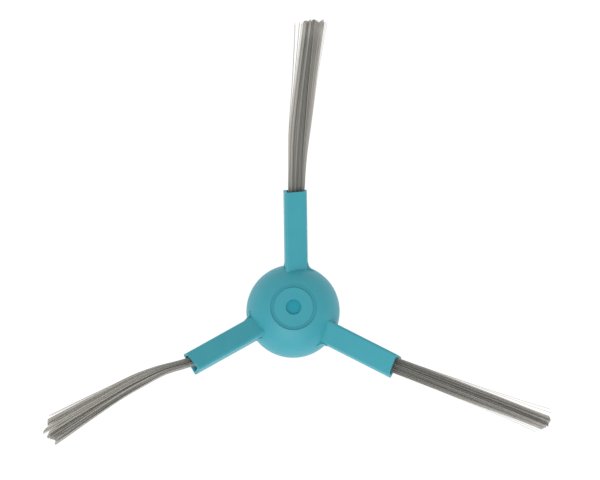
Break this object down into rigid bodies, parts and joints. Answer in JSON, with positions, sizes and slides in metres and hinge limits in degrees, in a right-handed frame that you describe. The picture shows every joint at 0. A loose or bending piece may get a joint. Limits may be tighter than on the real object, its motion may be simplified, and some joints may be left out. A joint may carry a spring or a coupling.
{
  "type": "robot vacuum side brush",
  "caption": "Sweeping side brush: a soft domed hub moulded with rising arms, a tuft of nylon bristles in the end of each arm, and a drive socket underneath.",
  "frame": {"origin": "on the drive axis at the mouth of the bore, level with the rim that the hub stands on", "axes": "+Z from the rim to the crown along the drive axis, +Y along the arm that points up in the picture"},
  "size_m": [0.1548, 0.1284, 0.0289],
  "materials": {
    "hub_rubber": "satin",
    "bristle_nylon": "satin"
  },
  "bodies": {
    "root": {"brush_hub": "hub_rubber", "bristle_tuft_top": "bristle_nylon", "bristle_tuft_left": "bristle_nylon", "bristle_tuft_right": "bristle_nylon"}
  },
  "joints": []
}
